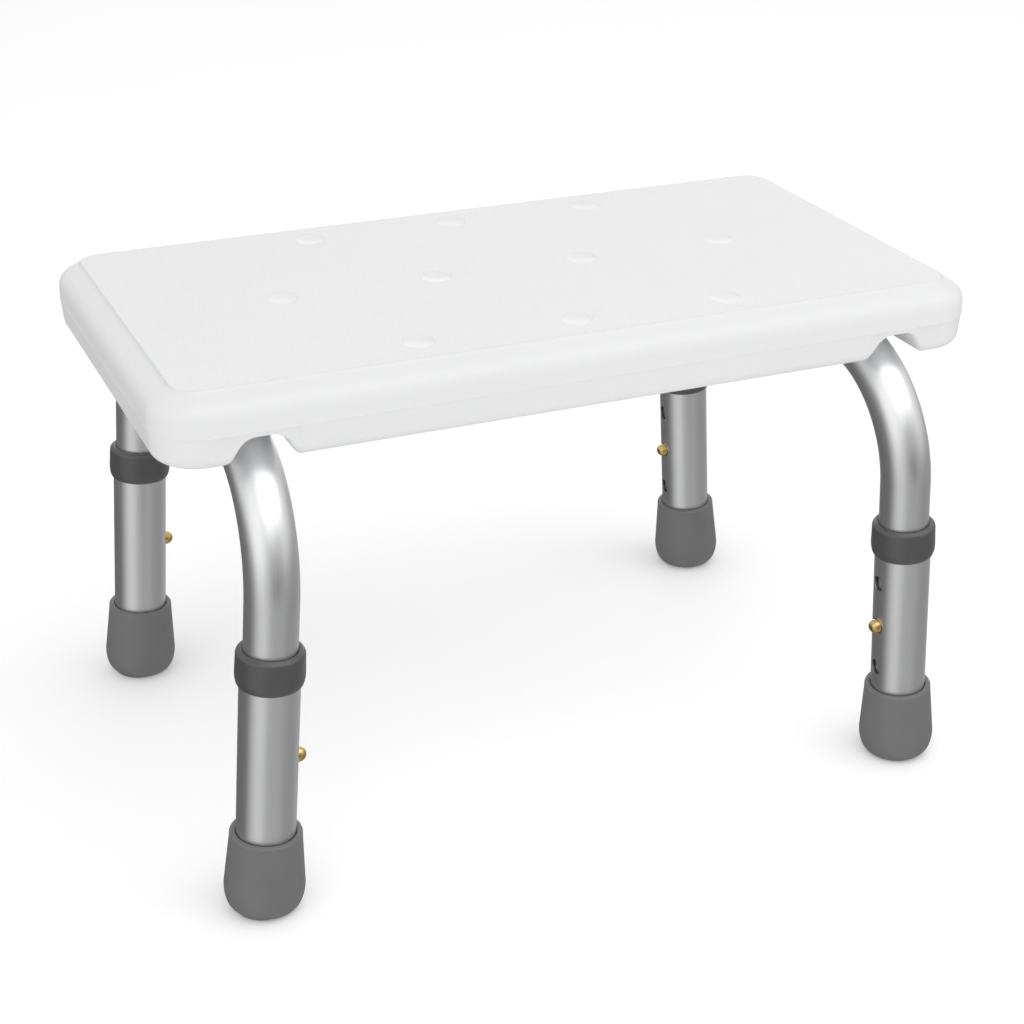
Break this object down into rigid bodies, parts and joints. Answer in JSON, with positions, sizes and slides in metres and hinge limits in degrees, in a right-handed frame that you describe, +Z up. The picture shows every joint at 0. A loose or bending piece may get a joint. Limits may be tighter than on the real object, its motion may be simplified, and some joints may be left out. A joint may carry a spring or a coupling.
{
  "type": "shower stool",
  "caption": "Low shower stool with a hollow white seat on two bent tube frames and sliding, push-button height-adjustable legs with rubber feet.",
  "frame": {"origin": "on the floor under the middle of the seat", "axes": "+X along the seat's length to the user's right, +Y to the back, +Z up"},
  "size_m": [0.422, 0.2822, 0.2592],
  "materials": {
    "white_plastic": "white blow-moulded polyethylene, satin, with a fine grain on the panel",
    "satin_aluminium": "satin anodised tube, faint lines along its length",
    "dark_grey_plastic": "satin moulded plastic",
    "grey_rubber": "matt moulded rubber",
    "brass": "polished brass",
    "spring_steel": "blued spring strip",
    "zinc_steel": "bright zinc plate"
  },
  "bodies": {
    "root": {"seat_shell": "white_plastic", "left_frame_tube": "satin_aluminium", "right_frame_tube": "satin_aluminium", "front_left_seat_screw": "zinc_steel", "front_left_seat_washer": "zinc_steel", "front_left_seat_insert": "brass", "front_left_button_clip": "spring_steel", "front_right_seat_screw": "zinc_steel", "front_right_seat_washer": "zinc_steel", "front_right_seat_insert": "brass", "front_right_button_clip": "spring_steel", "rear_left_seat_screw": "zinc_steel", "rear_left_seat_washer": "zinc_steel", "rear_left_seat_insert": "brass", "rear_left_button_clip": "spring_steel", "rear_right_seat_screw": "zinc_steel", "rear_right_seat_washer": "zinc_steel", "rear_right_seat_insert": "brass", "rear_right_button_clip": "spring_steel"},
    "front_left_leg": {"front_left_leg_tube": "satin_aluminium", "front_left_collar": "dark_grey_plastic", "front_left_foot": "grey_rubber", "front_left_foot_washer": "zinc_steel"},
    "front_right_leg": {"front_right_leg_tube": "satin_aluminium", "front_right_collar": "dark_grey_plastic", "front_right_foot": "grey_rubber", "front_right_foot_washer": "zinc_steel"},
    "rear_left_leg": {"rear_left_leg_tube": "satin_aluminium", "rear_left_collar": "dark_grey_plastic", "rear_left_foot": "grey_rubber", "rear_left_foot_washer": "zinc_steel"},
    "rear_right_leg": {"rear_right_leg_tube": "satin_aluminium", "rear_right_collar": "dark_grey_plastic", "rear_right_foot": "grey_rubber", "rear_right_foot_washer": "zinc_steel"},
    "front_left_button_pin": {"front_left_button": "brass"},
    "front_right_button_pin": {"front_right_button": "brass"},
    "rear_left_button_pin": {"rear_left_button": "brass"},
    "rear_right_button_pin": {"rear_right_button": "brass"}
  },
  "joints": [
    {"name": "front_left_leg_slide", "type": "slide", "parent": "root", "child": "front_left_leg", "axis": [-0.0698, 0, -0.9976], "range_m": [-0.0254, 0.0254], "deforming": ["front_left_button"]},
    {"name": "front_right_leg_slide", "type": "slide", "parent": "root", "child": "front_right_leg", "axis": [0.0698, 0, -0.9976], "range_m": [-0.0254, 0.0254], "deforming": ["front_right_button"]},
    {"name": "rear_left_leg_slide", "type": "slide", "parent": "root", "child": "rear_left_leg", "axis": [-0.0698, 0, -0.9976], "range_m": [-0.0254, 0.0254], "deforming": ["rear_left_button"]},
    {"name": "rear_right_leg_slide", "type": "slide", "parent": "root", "child": "rear_right_leg", "axis": [0.0698, 0, -0.9976], "range_m": [-0.0254, 0.0254], "deforming": ["rear_right_button"]},
    {"name": "front_left_button_press", "type": "slide", "parent": "root", "child": "front_left_button_pin", "axis": [-0.9976, 0, 0.0698], "range_m": [0, 0.006], "stiffness_N_per_m": 2000, "springref_m": -0.007, "deforming": ["front_left_button_clip"]},
    {"name": "front_right_button_press", "type": "slide", "parent": "root", "child": "front_right_button_pin", "axis": [0.9976, 0, 0.0698], "range_m": [0, 0.006], "stiffness_N_per_m": 2000, "springref_m": -0.007, "deforming": ["front_right_button_clip"]},
    {"name": "rear_left_button_press", "type": "slide", "parent": "root", "child": "rear_left_button_pin", "axis": [-0.9976, 0, 0.0698], "range_m": [0, 0.006], "stiffness_N_per_m": 2000, "springref_m": -0.007, "deforming": ["rear_left_button_clip"]},
    {"name": "rear_right_button_press", "type": "slide", "parent": "root", "child": "rear_right_button_pin", "axis": [0.9976, 0, 0.0698], "range_m": [0, 0.006], "stiffness_N_per_m": 2000, "springref_m": -0.007, "deforming": ["rear_right_button_clip"]}
  ]
}
